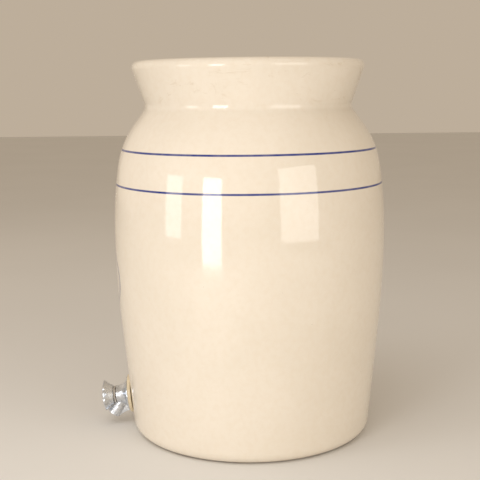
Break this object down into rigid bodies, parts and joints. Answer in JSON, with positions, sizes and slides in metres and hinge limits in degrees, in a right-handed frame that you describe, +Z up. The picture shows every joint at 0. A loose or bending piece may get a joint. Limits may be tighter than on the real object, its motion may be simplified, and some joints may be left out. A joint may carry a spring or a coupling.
{
  "type": "stoneware dispenser crock",
  "caption": "Tall barrel-shaped glazed stoneware crock with a pinched neck, flared collar and a small screw-down metal tap low on its front.",
  "frame": {"origin": "middle of the crock's flat base, on the axis of the jar", "axes": "+Z up along the jar's axis; the tap and the badge face -Y; +X to the right when facing along +Y"},
  "size_m": [0.2538, 0.2723, 0.3485],
  "materials": {
    "glaze": "glossy cream glaze with two thin blue bands",
    "cream_rubber": "matt cream rubber",
    "cast_metal": "bright cast white metal, uneven and lightly worn",
    "turned_brass": "turned brass",
    "steel": "plain steel",
    "black_rubber": "matt black rubber",
    "fibre": "grey-brown vulcanised fibre"
  },
  "bodies": {
    "crock_and_tap": {"crock": "glaze", "outer_washer": "cream_rubber", "inner_washer": "cream_rubber", "backing_washer": "steel", "locknut": "turned_brass", "tap_body": "cast_metal", "bonnet": "cast_metal", "bonnet_gasket": "fibre"},
    "valve": {"jumper": "turned_brass", "seat_washer": "black_rubber", "seat_washer_screw": "steel"},
    "handwheel": {"spindle": "turned_brass", "stem_o_ring": "black_rubber", "knob": "cast_metal", "knob_screw": "steel", "knob_cap": "cast_metal"}
  },
  "joints": [
    {"name": "valve_lift", "type": "slide", "parent": "crock_and_tap", "child": "valve", "axis": [0, -0.9954, -0.0962], "range_m": [0, 0.003]},
    {"name": "knob_turn", "type": "hinge", "parent": "valve", "child": "handwheel", "pos_m": [0, -0.11806, 0.03047], "axis": [0, -0.9954, -0.0962], "range_deg": [0, 540]}
  ],
  "couplings": [
    {"joint": "valve_lift", "follows": "knob_turn", "m_per_rad": 0.00031831}
  ]
}
